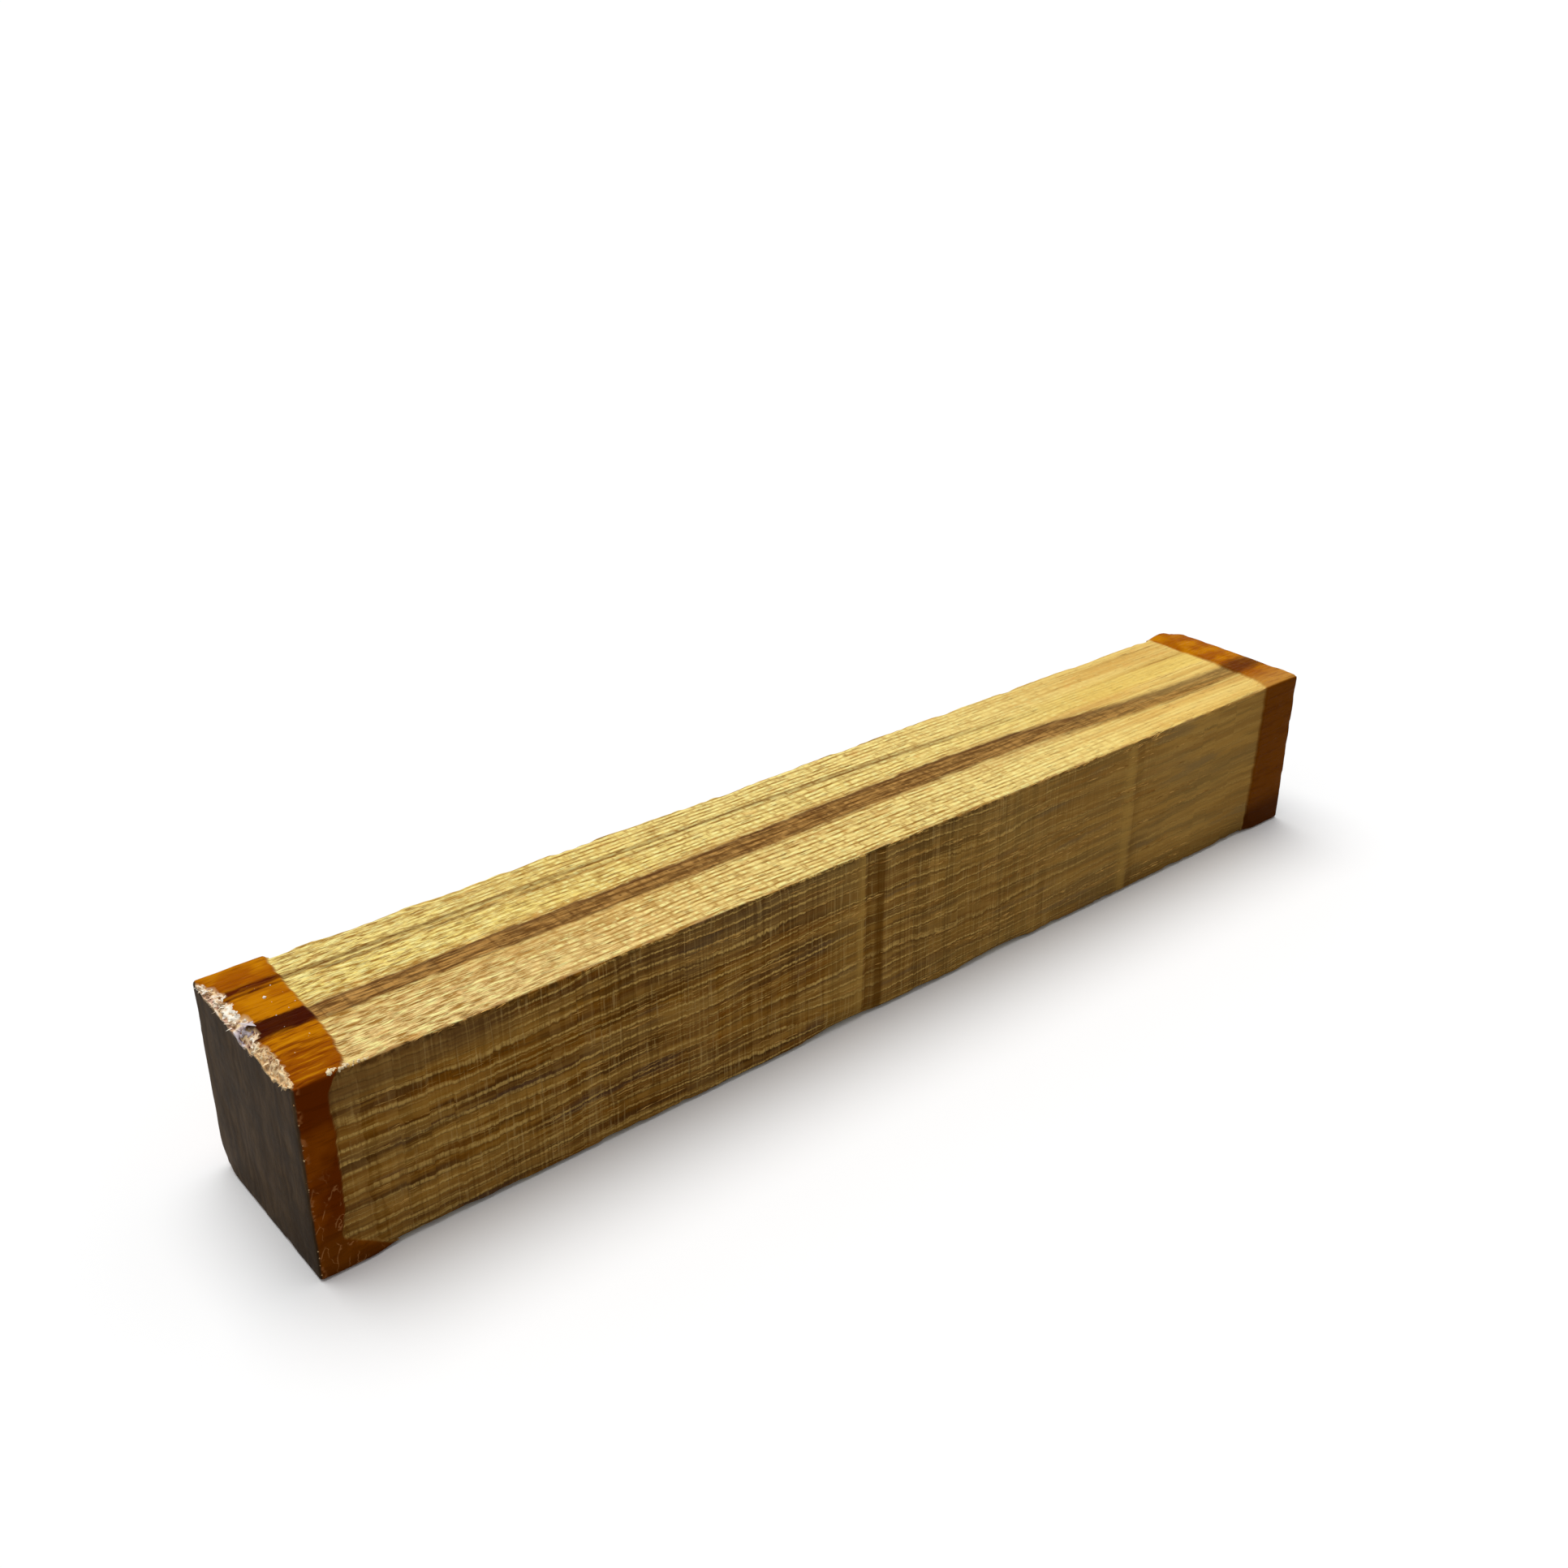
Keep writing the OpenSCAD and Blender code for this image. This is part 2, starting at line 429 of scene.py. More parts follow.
class FiguredWood(Finish):
    """The wood's own figure, with painted light on its relief. The layers of the tree stand upright
    in the stick, so the top and bottom show them as stripes, and the front and back show threads
    and patches, crossed by the saw's fine lines. Painted highlights lie on the top's beads and the
    front's threads, and painted shade lies in the top's grooves and pits and under the front's
    threads. All of it softens towards the far end."""

    def __init__(self, name):
        super().__init__(name)
        x, y, z = self.x, self.y, self.z
        self.along = (x - stick_low[0]) * (1 / stick_length)
        self.depth = y - stick_low[1]
        self.crisp = self.along.between(0.88, 0.5)
        self.woven = self.along.between(0.1, 0.3)

        # Each fibre is kinked from side to side where a saw tooth crossed it
        self.kink = (self.clouds(x * 1.3, y * 0.6, z * 0.4, 3, 0.65) - 0.5) * 0.17
        self.fibre_y, self.fibre_z = y + self.kink, z + self.kink
        self.hair = self.clouds(x * 0.3, self.fibre_y * 3.4, self.fibre_z * 3.4, 3, 0.65)
        self.bands = self.clouds(x * 1.4, y * 0.1, 4, 2, 0.6)
        self.broad = self.clouds(x * (1 / 45), self.fibre_y * 0.55, 8, 2, 0.5)
        self.weave_top()
        gold, stripe, line = self.striped(self.golden_top())
        self.stripe, self.line = stripe, line
        flame = self.sawn_front()
        self.upright = self.mark("upright")
        self.wood_colour = self.laid(gold, (self.upright, flame))
        self.wood_height = self.either(self.upright, self.ribs, self.rasp)

    def weave_top(self):
        """The top's fine pattern and the painted light on it: dashes along the grain at the near
        end, that turn into rows of beads, like weaving. The grooves between the rows and the gaps
        between the beads are darkened as painted shade, and the glints on the dashes and the bead
        tops are painted highlights."""
        x, y, fibre_y, woven = self.x, self.y, self.fibre_y, self.woven
        drift = (self.clouds(x * (1 / 19), y * 0.3, self.z * 0.3, 1) - 0.5) * 1.5
        row_place = (fibre_y + drift) * (1 / row_pitch)
        row = row_place.floor()
        row_edge = abs(row_place.fraction() - 0.5)
        bead = self.clouds(x * 1.3 + row * 5.3, row * 3.7, 0, 2, 0.6)
        dash = self.clouds(x * 0.48, fibre_y * 2.5, 2, 3, 0.55)
        uneven = self.clouds(x * 0.35, y * 1.2, 3, 2, 0.6).between(0.36, 0.6)
        rows = row_edge.between(0.17, 0.43) * (0.35 + uneven * 0.65)
        gaps = bead.between(0.45, 0.33) * 0.6
        ridge = row_edge.between(0.4, 0.12) * woven
        # Painted shade in the grooves between the rows and in the gaps between the beads
        self.weave_shade = self.larger(rows, gaps) * (0.45 + woven * 0.55)
        self.groove = self.larger(dash.between(0.49, 0.39) * (0.95 - woven * 0.7), self.weave_shade)
        self.glint = dash.between(0.52, 0.62) * (1 - woven) + bead.between(0.46, 0.64) * ridge
        # Painted highlights on the dashes and bead tops, laid inside the brown stripe
        self.stripe_glint = dash.between(0.5, 0.64) * (1 - woven) + bead.between(0.5, 0.66) * ridge

    def golden_top(self):
        """Colour of the top and bottom between the stripes, with painted highlights on its glints
        and painted shade in its grooves and pits. Sets the height of its ribs too.
        """
        x, y, fibre_y = self.x, self.y, self.fibre_y
        along, depth, crisp = self.along, self.depth, self.crisp
        streaks = self.clouds(x * (1 / 30), fibre_y * 0.8, 1, 4, 0.6)
        long_streaks = self.clouds(x * (1 / 15), fibre_y * 2.6, 12, 3, 0.6)
        pits = self.clouds(x * 0.45, fibre_y * 2.9, 6, 2).between(0.38, 0.29)
        fine = self.clouds(x * 0.6, fibre_y * 5.5, 5, 2, 0.6)
        hairlines = self.clouds(x * 0.9, fibre_y * 8, 9, 1)
        tan = self.clouds(x * 0.4, y * 0.8, 3, 1).between(0.62, 0.74)
        blush = along.between(0.5, 0.1) * depth.between(8.5, 5)
        rich = depth.between(9.8, 11) * depth.between(14.6, 13)
        back = depth.between(9.5, 12)
        middle = along.between(0.24, 0.4) * along.between(0.85, 0.65)
        streaky = crisp * 0.62 - self.woven * 0.4
        hairy = crisp * (0.5 - self.woven * 0.2)
        bruise = self.clouds(x * 0.22, 0, 2, 3, 0.6)
        bruise = bruise.between(0.48, 0.58) * (depth + bruise * 0.6).between(0.85, 0.55)
        self.ribs = self.groove * -0.05 + pits * -0.06 + (fine * 0.04 + self.glint * 0.03)
        return self.laid(
            (232, 187, 98),
            (streaks.between(0.34, 0.6), (252, 221, 130)),
            (blush * 0.55, (238, 202, 146)),
            (rich * 0.65, (255, 226, 118)),
            (back * along.between(0.62, 0.42) * 0.45, (255, 238, 140)),
            (back * along.between(0.6, 0.8) * 0.3, (196, 152, 84)),
            (self.broad.between(0.5, 0.36) * 0.5, (190, 142, 66)),
            (middle * 0.6, (255, 234, 148)),
            (long_streaks.between(0.42, 0.3) * 0.6, (152, 106, 48)),
            (self.bands.between(0.52, 0.32) * (0.08 + crisp * 0.26), (178, 134, 62)),
            # Painted highlights on the glints, then painted shade in the grooves and pits
            (self.glint * (0.12 + crisp * 0.82), (255, 244, 160)),
            (self.groove * (0.12 + crisp * 0.85), (164, 116, 46)),
            (pits * (0.08 + crisp * 0.5), (134, 92, 38)),
            (hairlines.between(0.44, 0.34) * hairy, (138, 92, 38)),
            (hairlines.between(0.56, 0.66) * hairy, (255, 243, 172)),
            (fine.between(0.48, 0.34) * streaky, (146, 102, 44)),
            (fine.between(0.54, 0.68) * streaky, (255, 240, 162)),
            (tan * 0.28, (222, 160, 84)),
            (bruise * 0.6, (176, 126, 76)),
        )

    def striped(self, gold):
        """The top's colour with its stripes laid over it, and the share that each stripe covers:
        the brown one, darkest at its back edge, with paler threads inside it, and a thin dark
        line behind it, doubled at first, that softens and fades before the far end."""
        along, crisp, woven = self.along, self.crisp, self.woven
        centre = self.path(along, stripe_path, stick_width)
        half = self.path(along, stripe_half_width, 4)
        fray = (self.clouds(self.x * 0.3, self.fibre_y * 1.6, 0, 4, 0.7) - 0.5) * 1.3
        off = self.depth + self.kink - centre
        blur = along.between(0.55, 0.9) * 1.6 + off.between(0.3, -0.6) * 0.9
        margin = (abs(off) - half + fray) / (1 + blur)
        inside = margin.between(0.26, -0.2)
        rim = margin.between(-0.8, -0.15) * inside * off.between(-0.4, 0.5)
        outskirts = margin.between(1.5, 0.2) * self.broad.between(0.42, 0.56) * (1 - inside)
        brown = self.laid(
            (102, 63, 27),
            (self.hair.between(0.4, 0.62) * (1 - woven * 0.3), (192, 141, 74)),
            # Painted shade in the grooves and gaps, then painted highlights on the beads
            (self.weave_shade * crisp * 0.5, (80, 48, 20)),
            (self.stripe_glint * crisp * 0.5, (200, 146, 78)),
            (self.bands.between(0.5, 0.34) * 0.4, (84, 48, 22)),
            (rim * 0.6, (84, 46, 28)),
        )

        off_line = self.depth + self.kink - self.path(along, thin_line_path, stick_width)
        soft = 0.56 + along.between(0.06, 0.03) * 0.36 + along.between(0.35, 0.75) * 0.5
        first = (abs(off_line) / soft).between(0.9, 0.15) * (0.84 - woven * 0.2)
        dashes = self.clouds(self.x * 0.2, 4, 0, 2).between(0.36, 0.5) * along.between(0.45, 0.2)
        second = abs(off_line + 0.85).between(0.34, 0.04) * dashes * 0.75
        line = (first + second) * along.between(0.84, 0.56) * (0.78 + self.groove * 0.35)
        gold = self.laid(
            gold,
            (inside * (0.94 - along.between(0.7, 0.95) * 0.16), brown),
            (outskirts * 0.4, (186, 134, 70)),
            (line, (110, 68, 22)),
        )
        return gold, inside, line

    def sawn_front(self):
        """Colour of the front and back: brown, orange and dull purple patches that jump at the
        saw's marks, pale threads that the saw's fine teeth have beaded, made paler still by a
        painted highlight where they catch the light from above, each with a painted shadow under
        it, and upright lines across it all. A painted shadow of the splinters runs under the top
        arris. Sets the height of its relief too."""
        x, z, fibre_z, along, crisp = self.x, self.z, self.fibre_z, self.along, self.crisp

        # Patches and bands along the grain
        jump = self.chance(x * (1 / 2.9) + self.clouds(x * (1 / 14), 0, 0) * 3)
        level = fibre_z + jump * 0.22
        patches = self.clouds(x * 0.045, 7, level * 0.42, 3, 0.55)
        warm = self.clouds(x * 0.06, 3, level * 0.62, 3, 0.55)
        olive = self.clouds(x * 0.05, 1, level * 0.9, 3, 0.55)
        veil = self.clouds(x * 0.05, 6, z * 0.12, 1)
        soft_bands = self.clouds(x * 0.05, 6, (level + jump * 0.25) * 0.95, 3, 0.55)
        plum = self.clouds(x * 0.055, 4, level * 0.42, 2, 0.5)
        column = self.chance(x * 0.9 + self.clouds(x * 0.4, 1, z * 0.5, 1) * 1.5)
        past_ledge = along.between(0.48, 0.5) * along.between(0.72, 0.6)
        ashen = z.between(12.5, 16.5) * x.between(-38, -22) * x.between(4, -8)
        upper = z.between(15.6, 17) * x.between(-42, -50)
        foot = z.between(3, 0.8) * along.between(0.6, 0.85)

        # Threads: pale fibres made paler by a painted highlight, each with a painted shadow under it
        leaning = x + z * 0.015
        hatch = self.clouds(leaning * 4, 5, z * 0.08, 2, 0.6)
        sway = self.clouds(x * 0.035, 5, z * 0.15, 1)
        spread = self.clouds(x * 0.008, 2, z * 0.5, 1)
        nudge = self.clouds(x * 2.2, 5, z * 0.25, 1)
        thread_z = fibre_z + (sway - 0.5) * 4 + spread * 1.1 + jump * 0.12 + nudge * 0.3
        turn = thread_z * (2 * math.pi / thread_pitch)
        fine_turn = (thread_z + 0.4) * (2 * math.pi / fine_thread_pitch)
        chosen = self.clouds(x * 0.09, 8, thread_z * 0.68, 4, 0.62)
        near = along.between(0.28, 0.06)
        thread = turn.sine().between(0.7 - near * 0.5, 0.98) * chosen.between(0.34, 0.5)
        thread = thread + fine_turn.sine().between(0.72, 0.98) * chosen.between(0.56, 0.44) * 0.6
        beaded = 0.45 + hatch.between(0.4, 0.54) * 0.55
        thread = thread * (0.35 + self.hair.between(0.34, 0.5) * 0.65) * beaded * (1 - upper * 0.85)
        # A painted shadow under each thread
        under = (turn + 0.8).sine().between(0.8, 0.98) * chosen.between(0.38, 0.5) * 0.5

        # Upright lines: a fine hatch all over, and single pale lines in places
        strength = self.clouds(x * (1 / 9), 9, z * 0.1, 1).between(0.15, 0.5)
        strength = strength * (0.12 + crisp * 0.8) * (0.4 + along.between(0.04, 0.16) * 0.6)
        scratch = hatch.between(0.53, 0.68) * strength
        notch = hatch.between(0.47, 0.34) * strength
        single = self.clouds(leaning * 4.2, 1, z * 0.3, 0).between(0.64, 0.78) * strength
        # Painted shadow of the splinters: a dark broken line just under the front top arris
        splinter_shadow = self.clouds(x * 1.3, 0, z * 1.6, 3, 0.6).between(0.46, 0.56) * z.between(18.4, 19.1)
        tone = self.path(along, saw_tones, 1)
        on_front = self.y.between(2, -2)

        self.rasp = scratch * 0.02 + self.hair * 0.04 + thread * 0.06
        return self.laid(
            (144, 90, 20),
            (patches.between(0.46, 0.6) * 0.75, (104, 68, 34)),
            (warm.between(0.53, 0.68) * 0.4, (166, 96, 8)),
            (olive.between(0.47, 0.6) * 0.5, (200, 146, 60)),
            (veil.between(0.5, 0.7) * 0.18, (180, 146, 86)),
            (soft_bands.between(0.5, 0.6) * 0.42, (196, 148, 70)),
            (soft_bands.between(0.47, 0.37) * 0.6, (90, 54, 16)),
            (plum.between(0.58, 0.66) * 0.6, (98, 74, 58)),
            (column.between(0.5, 1) * crisp * 0.24, (88, 56, 20)),
            (column.between(0.4, 0) * crisp * 0.14, (196, 158, 96)),
            (past_ledge * column * 0.4, (96, 64, 22)),
            (ashen * 0.4, (104, 86, 60)),
            (upper * 0.6, (132, 97, 54)),
            (along.between(0.25, 0.85) * 0.24, (255, 210, 122)),
            (foot * 0.5, (86, 52, 10)),
            # Painted shadow under the threads, then the threads with their painted highlight
            (under * crisp * 0.7, (76, 44, 14)),
            (thread * (0.22 + crisp * (0.76 - near * 0.3)), (238, 194, 108)),
            (scratch * 0.26, (228, 184, 106)),
            (notch * 0.26, (74, 42, 10)),
            (single * 0.3, (240, 202, 130)),
            (tone.between(0.5, 1) * on_front, (214, 168, 84)),
            (tone.between(0.5, 0.05) * on_front * 0.74, (110, 66, 2)),
            # Painted shadow under the splinters of the top arris
            (splinter_shadow * crisp * 0.6, (60, 34, 8)),
        )


def sawn_wood():
    """Rough dry wood, with pale crumbly fibres where it is torn."""
    finish = FiguredWood("sawn_wood")
    grit = finish.clouds(finish.x * 2.2, finish.y * 2.2, finish.z * 2.2, 3)
    crumbly = finish.laid((150, 104, 74), (grit.between(0.35, 0.55), (238, 208, 162)))
    colour = finish.laid(finish.wood_colour, (finish.mark("torn"), crumbly))
    return finish.done(colour, 0.9, 0, finish.wood_height)


stick_rings, stick_marks = sawn_skin()
stick_poles = [stick_middle - [stick_length / 2, 0, 0], stick_middle + [stick_length / 2, 0, 0]]
stick = skin("sawn_stick", stick_rings, stick_poles, stick_marks)
stick.data.materials.append(sawn_wood())
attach(stick, "root")
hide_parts("wood_blank")

# Each end was dipped in clear sealing wax, so that its end grain dries slowly. The wax has soaked
# the wood beneath to a wet amber and dried to a dull haze on the end. Each coat is one shell: out
# over the end, round the arris, along the sides to its line, and back under itself.
wax_thickness = float(stick_low[2])

# Radius of the coat's edge round its end, radius of its four long corners, how deep its inner
# side lies in the wood, and the half width that a nibble in its edge is a share of
wax_round = 0.32
wax_corner = 0.45
inner_gap = 0.14
nibbled_half = 9.8
coat_half = np.array([stick_width, stick_height]) / 2 + wax_thickness
coat_places = places_round((64, 40, 40, 64), 0.5)
near_seed = 41
far_seed = 51

# Wax lines: how far each comes from its end cut, at places round the stick counted as above
near_line = [
    (0, 3.6), (0.05, 4.6), (0.12, 5.1), (0.3, 5.6), (0.5, 5.8), (0.8, 6.1), (1, 6.4),
    (1.5, 5.8), (2, 5.4), (2.5, 5.7), (2.9, 6.3), (3, 7.4), (3.03, 6.3), (3.07, 5.2),
    (3.1, 4.3), (3.14, 2.9), (3.18, 2.3), (3.24, 2.4), (3.32, 2.9), (3.6, 2.95), (3.9, 2.8),
    (4, 3.6),
]
far_line = [
    (0, 6.1), (0.15, 5.1), (0.5, 4.7), (1, 4.7), (1.5, 5.0), (2, 5.5),
    (2.5, 6.2), (3, 6.9), (3.5, 6.4), (4, 6.1),
]


def wax_reach(line, place):
    """How far the wax reaches at each place: straight from point to point of the line, averaged
    with the places close on either side, which rounds off its bends."""
    places, reaches = np.array(line).T
    beside = np.linspace(-0.03, 0.03, 7)[:, None]
    return np.interp(place + beside, places, reaches, period=4).mean(0)


def nibbled(seed, place):
    """How far the edge of a coat's end is nibbled back at each place, in millimetres."""
    around = place * girth / 4
    bites = 0.13 * lumps(seed + 4, around, 0, 1.9, 1) + 0.1 * lumps(seed + 5, around, 0, 0.7, 1)
    return np.clip(bites + 0.06, 0, 0.21)


def coat_skin(line, seed, chipped):
    """Rings of a coat at the near end, and the marks that its finish reads. The end is a flat
    that waves slightly, and its edge is a quarter round. The sides keep the coat's thickness
    almost to the line, where they fall to the wood, and the inner side lies in the wood."""
    place = coat_places
    around = place * girth / 4
    reach = wax_reach(line, place) + 0.12 * lumps(seed, around, 0, 0.8, 1)
    rings, ends, lips = [], [], []

    def ring(x, points, end, lip):
        rings.append(np.column_stack([np.broadcast_to(x, place.shape), points]))
        ends.append(np.full(place.shape, end, float))
        lips.append(np.full(place.shape, lip, float))

    for share in np.linspace(0.06, 1, 18):
        points, _ = section(place, *((coat_half - wax_round) * share), wax_corner * share / 3)
        wave = 0.035 * lumps(seed + 1, points[:, 0] + 30, points[:, 1] + 30, 2.4, 2.4)
        ring(wave * (1 - share ** 8) - wax_thickness, points, 1, 0)
    for turn in np.radians([22.5, 45, 67.5, 90]):
        inset = wax_round * (1 - math.sin(turn))
        points, _ = section(place, *(coat_half - inset), wax_corner - inset)
        ring(wax_round * (1 - math.cos(turn)) - wax_thickness, points, math.cos(turn), 0)

    start = wax_round - wax_thickness
    thinning = 0.45 + 2.2 * np.exp(-((place - 3) / 0.08) ** 2)
    if not chipped:
        thinning = thinning + 2.4 * np.exp(-((place - 1) / 0.25) ** 2)
    side, away = section(place, *coat_half, wax_corner)
    for share in np.sin(np.linspace(0, math.pi / 2, 36)[1:]):
        x = start + (reach - start) * share
        wave = 0.03 * lumps(seed + 2, x, around, 1.7, 1.9, girth)
        wave = wave + 0.012 * lumps(seed + 3, x, around, 0.5, 0.6, girth)
        fall = (wax_thickness + 0.02) * ease((x - reach + thinning) / thinning)
        points = side + (wave * ease(share * 4) - fall)[:, None] * away
        ring(x, points, 0, ease((x - reach + 0.5) / 0.5) ** 2)
    inner, _ = section(place, *(coat_half - wax_thickness - inner_gap), wax_corner / 3)
    ring(reach - 0.05, inner, 0, 1)
    ring(reach / 2, inner, 0, 0)
    ring(inner_gap, inner, 0, 0)

    rings, ends, lips = np.array(rings), np.array(ends), np.array(lips)
    nibble = nibbled(seed, place) * (1 if chipped else 0.5) * (1 - ease(rings[..., 0] / 1.5))
    rings[..., 1:] *= 1 - nibble[..., None] / nibbled_half
    rings[..., 1:] += [stick_width / 2, stick_middle[2]]
    rings[..., 2] = np.maximum(rings[..., 2], 0)
    torn = 0 * ends
    if chipped:
        broken = broken_height(np.maximum(rings[..., 0], 0), rings[..., 1]) - 0.06
        torn = ease((rings[..., 2] - broken) / 0.08)
        rings[-3:, :, 2] = np.minimum(rings[-3:, :, 2], broken[-3:] - 0.04)
        rings[..., 2] = np.minimum(rings[..., 2], broken)
    upright = np.broadcast_to(how_upright(away), ends.shape)
    return rings, {"end": ease(2 * ends - 0.6), "lip": lips, "torn": torn, "upright": upright}


def waxed_wood():
    """Wood soaked with wax: amber on the top, where its stripes turn nearly black, and red-brown
    on the front. It fades to bare wood in the thin lip of the coat, and pale cracks run through
    it in places. On the end the wax has dried to a dull grey-brown haze."""
    finish = FiguredWood("waxed_wood")
    x, y, z, laid, clouds = finish.x, finish.y, finish.z, finish.laid, finish.clouds
    fibres = clouds(x * 0.25, y * 2.2, z * 2.2, 3, 0.6)
    broad = clouds(x * 0.3, y * 0.35, z * 0.3, 2)
    far = x.between(-20, 20)

    # Amber over the top and bottom
    ropy = 1 - far * 0.6
    rope = ropy * (0.45 + y.between(2.5, -2) * 0.55)
    amber = laid(
        (162, 86, 0),
        (broad.between(0.38, 0.62), (194, 120, 2)),
        (y.between(-2.5, -7.5) * ropy * 0.8, (144, 72, 0)),
        (y.between(-5, -9) * far * 0.6, (206, 152, 72)),
        (fibres.between(0.5, 0.36) * rope * 0.8, (118, 50, 0)),
        (fibres.between(0.54, 0.66) * rope * 0.6, (206, 136, 10)),
        (finish.stripe * (0.97 - far * 0.3), laid((30, 0, 0), (fibres, (72, 15, 0)))),
        (finish.line * 1.25, laid((66, 16, 0), (fibres, (98, 36, 0)))),
    )

    # Russet over the front and back
    russet = laid(
        (116, 48, 0),
        (broad.between(0.42, 0.66), (150, 74, 2)),
        (z.between(13.5, 16.5), (110, 44, 0)),
        (z.between(6.5, 3) * 0.45, (134, 78, 12)),
        (z.between(1.8, 0.4) * 0.5, (84, 38, 4)),
        (far * 0.9, (130, 70, 0)),
        (fibres.between(0.5, 0.36) * 0.3, (80, 28, 0)),
        (z.between(5, 2.2) * far * 0.85, (78, 34, 2)),
    )

    # Cracks in the near coat, and its chipped rim
    jitter = (clouds(x * 1.2, y * 1.2, z * 1.2, 2) - 0.5) * 0.9
    cells = finish.at(x * 0.85 + jitter, y * 0.85, z * 0.36 + jitter)
    crack = finish.step("TexVoronoi", {"Vector": cells, "Scale": 1}, "Distance",
                        feature="DISTANCE_TO_EDGE").between(0.045, 0.01)
    cracked = clouds(x * 0.9, y * 0.9, z * 0.6, 2).between(0.47, 0.58) * z.between(11.5, 7.5)
    cracked = cracked * x.between(-58.5, -60)
    rim = x.between(-64.3, -64.75) * jitter.between(0.03, 0.12)

    # Haze on the end
    wander = clouds(0, y * 0.5, z * 0.25, 2) * 2.5
    haze = clouds(0, y * 1.1 + wander, z * 0.13, 3, 0.65)
    spots = clouds(0, y * 0.3, z * 0.3, 3, 0.6)
    dull = laid(
        (66, 50, 33),
        (haze.between(0.32, 0.68), (93, 73, 50)),
        (spots.between(0.42, 0.66) * 0.6, (58, 46, 33)),
        ((z + y).between(2, -6) * 0.5, (46, 33, 20)),
    )
    end = finish.mark("end")
    colour = laid(
        amber,
        (finish.upright, russet),
        (crack * cracked * 0.42, (226, 158, 98)),
        (rim * finish.upright * 0.6, (190, 120, 66)),
        (finish.mark("lip"), finish.wood_colour),
        (end, dull),
        (finish.mark("torn"), (222, 188, 142)),
    )
    height = finish.either(end, finish.wood_height * 0.5, spots * 0.1)
    return finish.done(colour, 0.4, 0.006, height)


def coat(name, line, seed, far):
    """One coat in place. The far one is made at the near end and turned end for end."""
    rings, marks = coat_skin(line, seed, chipped=not far)
    turn = np.array([-1 if far else 1, 1, 1])
    start = stick_start + [stick_length if far else 0, 0, 0]
    rings, poles = rings * turn + start, rings[[0, -1]].mean(1) * turn + start
    piece = skin(name, worn_corners(rings), worn_corners(poles), marks)
    piece.data.materials.append(wax_finish)
    return piece


wax_finish = waxed_wood()
near_coat = coat("near_coat", near_line, near_seed, far=False)
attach(near_coat, "root")
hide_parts("near_end_wax")

far_coat = coat("far_coat", far_line, far_seed, far=True)
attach(far_coat, "root")
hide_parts("far_end_wax")

# The break along the near top arris is a crumbly mass of torn wood and wax. Its skin runs from
# the ragged edge of the wax on the top, down the hollow of the chips and over onto the end.
break_stations = 260
hollow_stations = 26
grey_place = 9.7
grey_spread = 0.85


def torn_skin(seed):
    """Rings across the break, one every 0.07 mm along it. Each runs down the hollow, lifted by
    lumps and steps of random relief and shaken at random, and returns inside the wood."""
    draw = np.random.default_rng(seed)
    y = np.linspace(break_front + 0.1, break_back - 0.1, break_stations)[:, None]
    across = np.linspace(0, 1, hollow_stations)[None]
    long, deep = chip_size(y)
    inner, outer = long + 0.08, -wax_thickness - 0.01
    x = inner + (outer - inner) * np.minimum(across / 0.8, 1)
    z = np.minimum(broken_height(np.clip(x, 0, long - 0.01), y), stick_high[2] + 0.1)
    z = z + 0.12 * (across < 0.06) - 0.22 * np.maximum(across - 0.8, 0) / 0.2 * ease(deep * 2)
    crumble = 0.17 * lumps(seed + 1, across * 2, y, 0.5, 0.6)
    crumble = crumble + 0.1 * lumps(seed + 2, across * 2, y, 0.24, 0.28)
    steps = np.round(3 * lumps(seed + 3, across * 2, y, 0.6, 0.4)) / 3
    crumble = (crumble + 0.07 * steps) * ease(deep * 4) * ease(4.5 * (1 - across))
    top = np.stack([x - 0.6 * crumble, y + 0 * x, z + 0.8 * crumble + 0.02], -1)
    top += draw.normal(0, 0.018, top.shape) * [0.6, 1, 1]
    under = top[:, ::-5] + [0.35, 0, -0.35]
    under[..., 0] = np.clip(under[..., 0], 0.2, None)
    # Tone is paler where the crumbs stand out and darker in the hollows between them, which is
    # painted shade over the torn wood's own brown and cream. It is darker still at the grey flake,
    # where the hole beside it takes a painted shadow.
    pale = 0.5 + 2.2 * crumble + 0.3 * lumps(seed + 4, across * 2, y, 0.6, 0.7)
    grey = np.exp(-((y - grey_place) / grey_spread) ** 2) * ease(1.3 - across)
    pale = np.clip(pale - 0.45 * grey, 0.02, 1)
    tone = np.concatenate([pale, pale[:, ::-5]], 1)
    return np.concatenate([top, under], 1) + stick_start, {"tone": tone}


def torn_wood():
    """Dry torn fibres. Their tone runs from the brown of the gaps, which is partly painted shade,
    through pinkish brown to cream and white, and by the front, where they are waxier, to tan. One
    place is a lilac grey, whose darkest part is a painted shadow in the hole beside its flake."""
    finish = Finish("torn_wood")
    tone = finish.mark("tone")
    waxy = finish.laid(
        (166, 116, 62),
        (tone.between(0.05, 0.4), (224, 186, 130)),
        (tone.between(0.5, 0.95), (248, 224, 176)),
    )
    # The lilac's dark end is a painted shadow in the hole beside the grey flake
    lilac = finish.laid((84, 66, 76), (tone.between(0, 0.6), (206, 198, 208)))
    grey = abs(finish.y - 0.3).between(1.3, 0.5) * finish.z.between(17.6, 18.4)
    colour = finish.laid(
        (128, 88, 68),
        (tone.between(0.05, 0.35), (206, 166, 142)),
        (tone.between(0.3, 0.6), (240, 214, 180)),
        (tone.between(0.6, 0.9), (255, 248, 232)),
        (finish.y.between(-1.5, -3) * 0.85, waxy),
        (grey * 0.85, lilac),
    )
    return finish.done(colour, 0.8, 0.1)


